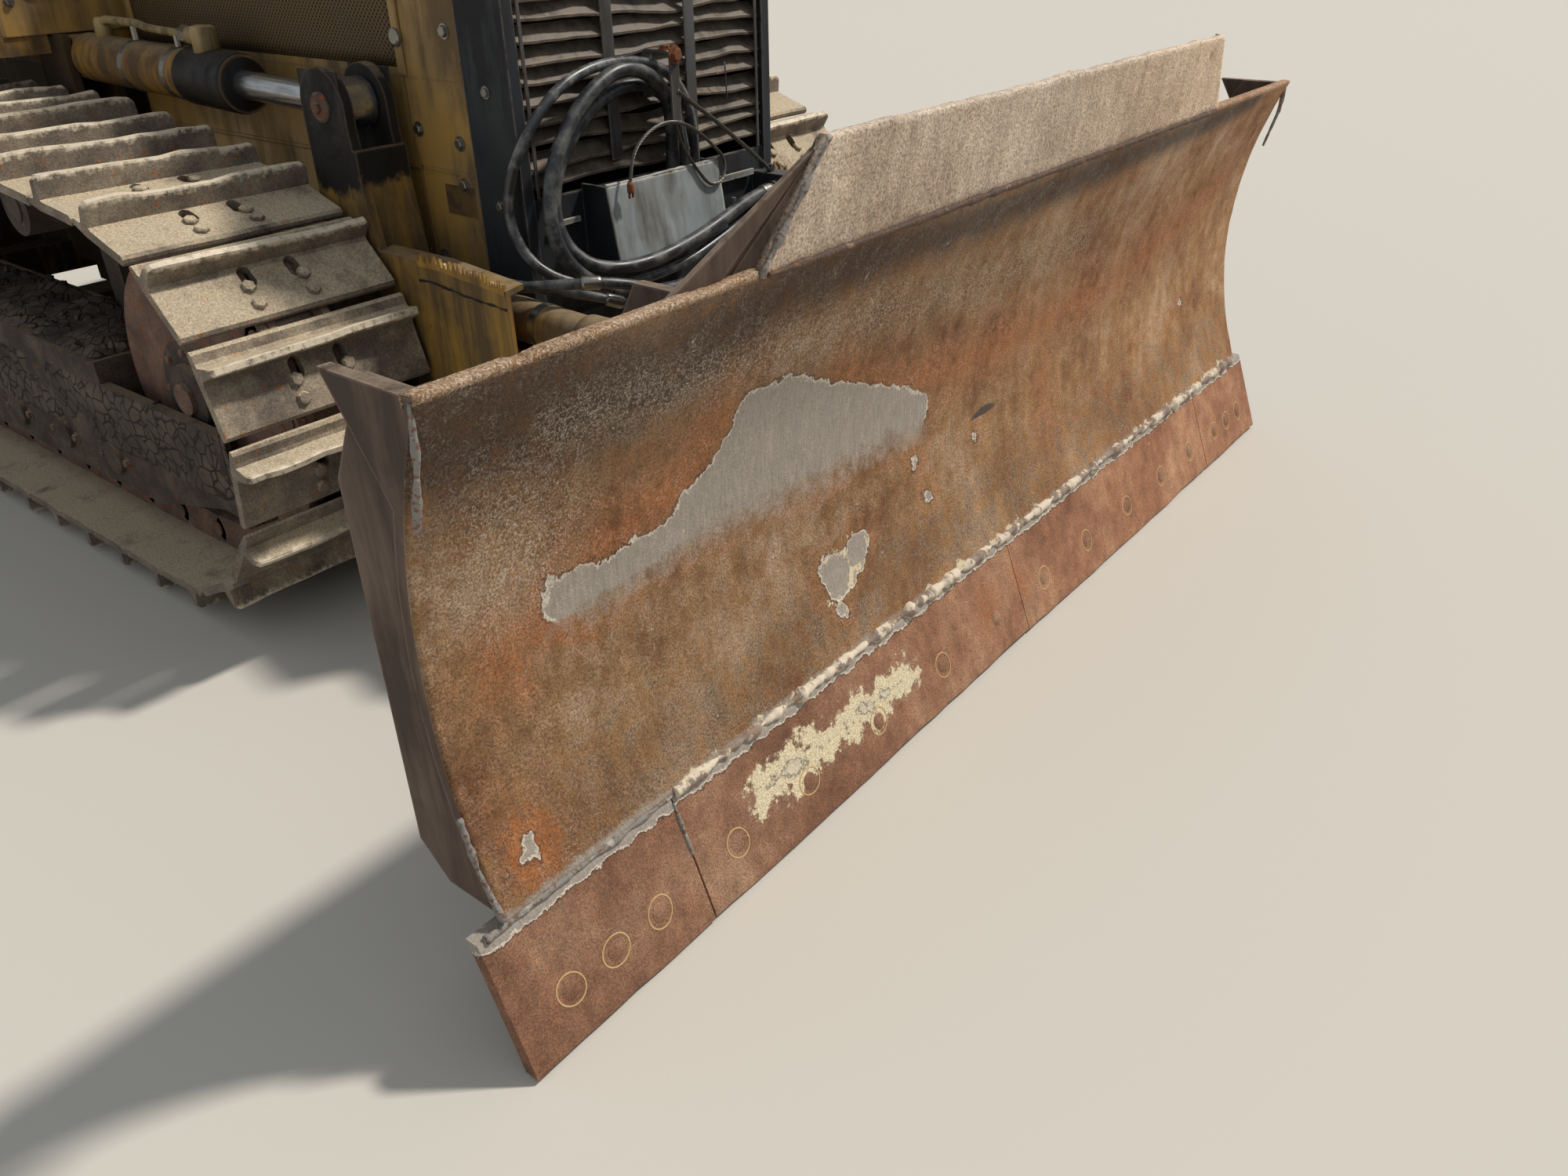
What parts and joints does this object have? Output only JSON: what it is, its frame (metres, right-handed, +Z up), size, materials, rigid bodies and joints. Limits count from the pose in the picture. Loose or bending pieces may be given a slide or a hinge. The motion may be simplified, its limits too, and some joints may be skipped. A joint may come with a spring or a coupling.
{
  "type": "crawler bulldozer with a power angle and tilt blade",
  "caption": "Crawler bulldozer: curved blade with a raised centre plate on a lifting, angling and tilting frame, grouser tracks, louvred radiator guard and closed cab.",
  "frame": {"origin": "on the ground, midway along, across and under the machine", "axes": "+X forward to the blade, +Y to the machine's left, +Z up"},
  "size_m": [5, 3.2, 3.065],
  "materials": {
    "yellow_paint": "worn satin paint",
    "black_paint": "worn satin paint",
    "blade_steel": "weathered paint, rust and bare steel",
    "edge_steel": "rusty wear steel",
    "track_steel": "dusty rusty steel",
    "dirty_frame": "paint under dry soil",
    "chrome_rod": "polished",
    "cast_iron": "oily cast iron",
    "grille_steel": "chipped paint with rusty edges",
    "exhaust_steel": "heat-browned steel",
    "clear_glass": "clear",
    "seat_vinyl": "worn vinyl",
    "black_plastic": "moulded",
    "lamp_glass": "lamp lens and housing",
    "hose_rubber": "oily rubber",
    "wire_rope": "greasy steel wire"
  },
  "bodies": {
    "root": {"track_left": "track_steel", "track_right": "track_steel", "sprockets": "track_steel", "front_idlers": "track_steel", "track_frames": "dirty_frame", "track_rollers": "track_steel", "main_frame": "dirty_frame", "drawbar": "dirty_frame", "engine_block": "cast_iron", "radiator_core": "black_paint", "radiator_guard": "black_paint", "grille_louvres": "grille_steel", "hood": "yellow_paint", "side_panels": "yellow_paint", "exhaust_stack": "exhaust_steel", "air_cleaner": "black_plastic", "deck": "yellow_paint", "cab_front": "yellow_paint", "cab_rear": "yellow_paint", "cab_side_left": "yellow_paint", "cab_side_right": "yellow_paint", "cab_roof": "yellow_paint", "cab_glass": "clear_glass", "operator_seat": "seat_vinyl", "control_console": "black_plastic", "fuel_tank": "yellow_paint", "work_lamps": "lamp_glass", "handrails": "yellow_paint", "hose_front": "hose_rubber", "hose_inner": "hose_rubber", "hose_outer": "hose_rubber", "wire_rope": "wire_rope", "wire_loop": "wire_rope", "drain_hose": "hose_rubber", "rope_socket": "grille_steel"},
    "c_frame": {"c_frame": "yellow_paint", "frame_hose_upper": "hose_rubber", "frame_hose_lower": "hose_rubber"},
    "yoke": {"blade_yoke": "yellow_paint"},
    "blade": {"moldboard": "blade_steel", "cutting_edges": "edge_steel"},
    "lift_barrel_left": {"lift_barrel_left": "yellow_paint"},
    "lift_barrel_right": {"lift_barrel_right": "yellow_paint"},
    "lift_rod_left": {"lift_rod_left": "chrome_rod"},
    "lift_rod_right": {"lift_rod_right": "chrome_rod"},
    "angle_barrel_left": {"angle_barrel_left": "yellow_paint"},
    "angle_barrel_right": {"angle_barrel_right": "yellow_paint"},
    "angle_rod_left": {"angle_rod_left": "chrome_rod"},
    "angle_rod_right": {"angle_rod_right": "chrome_rod"},
    "tilt_barrel": {"tilt_barrel": "yellow_paint"},
    "tilt_rod": {"tilt_rod": "chrome_rod"},
    "door_left": {"door_left": "yellow_paint", "door_glass_left": "clear_glass"},
    "door_right": {"door_right": "yellow_paint", "door_glass_right": "clear_glass"}
  },
  "joints": [
    {"name": "lift", "type": "hinge", "parent": "root", "child": "c_frame", "pos_m": [-0.1, 0, 0.45], "axis": [0, -1, 0], "range_deg": [-10, 21]},
    {"name": "angle", "type": "hinge", "parent": "c_frame", "child": "yoke", "pos_m": [1.98, 0, 0.45], "axis": [0, 0, 1], "range_deg": [-25, 25]},
    {"name": "tilt", "type": "hinge", "parent": "yoke", "child": "blade", "pos_m": [2.2, 0, 0.45], "axis": [1, 0, 0], "range_deg": [-7.5, 7.5]},
    {"name": "lift_barrel_pivot_left", "type": "hinge", "parent": "root", "child": "lift_barrel_left", "pos_m": [-0.42, 0.575, 1.2], "axis": [0, -1, 0], "range_deg": [-9, 20]},
    {"name": "lift_rod_slide_left", "type": "slide", "parent": "lift_barrel_left", "child": "lift_rod_left", "axis": [0.9996, 0, -0.0265], "range_m": [-0.315, 0.14]},
    {"name": "lift_barrel_pivot_right", "type": "hinge", "parent": "root", "child": "lift_barrel_right", "pos_m": [-0.42, -0.575, 1.2], "axis": [0, -1, 0], "range_deg": [-9, 20]},
    {"name": "lift_rod_slide_right", "type": "slide", "parent": "lift_barrel_right", "child": "lift_rod_right", "axis": [0.9996, 0, -0.0265], "range_m": [-0.315, 0.14]},
    {"name": "angle_barrel_pivot_left", "type": "hinge", "parent": "c_frame", "child": "angle_barrel_left", "pos_m": [1.08, 0.54, 0.74], "axis": [0, 0, 1], "range_deg": [-5, 5]},
    {"name": "angle_rod_slide_left", "type": "slide", "parent": "angle_barrel_left", "child": "angle_rod_left", "axis": [0.9971, 0.076, 0], "range_m": [-0.27, 0.27]},
    {"name": "angle_barrel_pivot_right", "type": "hinge", "parent": "c_frame", "child": "angle_barrel_right", "pos_m": [1.08, -0.54, 0.74], "axis": [0, 0, 1], "range_deg": [-5, 5]},
    {"name": "angle_rod_slide_right", "type": "slide", "parent": "angle_barrel_right", "child": "angle_rod_right", "axis": [0.9971, -0.076, 0], "range_m": [-0.27, 0.27]},
    {"name": "tilt_barrel_pivot", "type": "hinge", "parent": "yoke", "child": "tilt_barrel", "pos_m": [2.09, 0.43, 0.9], "axis": [1, 0, 0], "range_deg": [-3.5, 3.5]},
    {"name": "tilt_rod_slide", "type": "slide", "parent": "tilt_barrel", "child": "tilt_rod", "axis": [0, -1, 0], "range_m": [-0.06, 0.06]},
    {"name": "door_left", "type": "hinge", "parent": "root", "child": "door_left", "pos_m": [-1.2635, 0.784, 2], "axis": [0, 0, 1], "range_deg": [0, 110]},
    {"name": "door_right", "type": "hinge", "parent": "root", "child": "door_right", "pos_m": [-1.2635, -0.784, 2], "axis": [0, 0, -1], "range_deg": [0, 110]}
  ],
  "couplings": [
    {"joint": "lift_barrel_pivot_left", "follows": "lift", "ratio": 0.7775},
    {"joint": "lift_rod_slide_left", "follows": "lift", "m_per_rad": -0.77},
    {"joint": "lift_barrel_pivot_right", "follows": "lift", "ratio": 0.7775},
    {"joint": "lift_rod_slide_right", "follows": "lift", "m_per_rad": -0.77},
    {"joint": "angle_barrel_pivot_left", "follows": "angle", "ratio": 0.185},
    {"joint": "angle_rod_slide_left", "follows": "angle", "m_per_rad": -0.6},
    {"joint": "angle_barrel_pivot_right", "follows": "angle", "ratio": 0.185},
    {"joint": "angle_rod_slide_right", "follows": "angle", "m_per_rad": 0.6},
    {"joint": "tilt_barrel_pivot", "follows": "tilt", "ratio": 0.44},
    {"joint": "tilt_rod_slide", "follows": "tilt", "m_per_rad": 0.45}
  ]
}
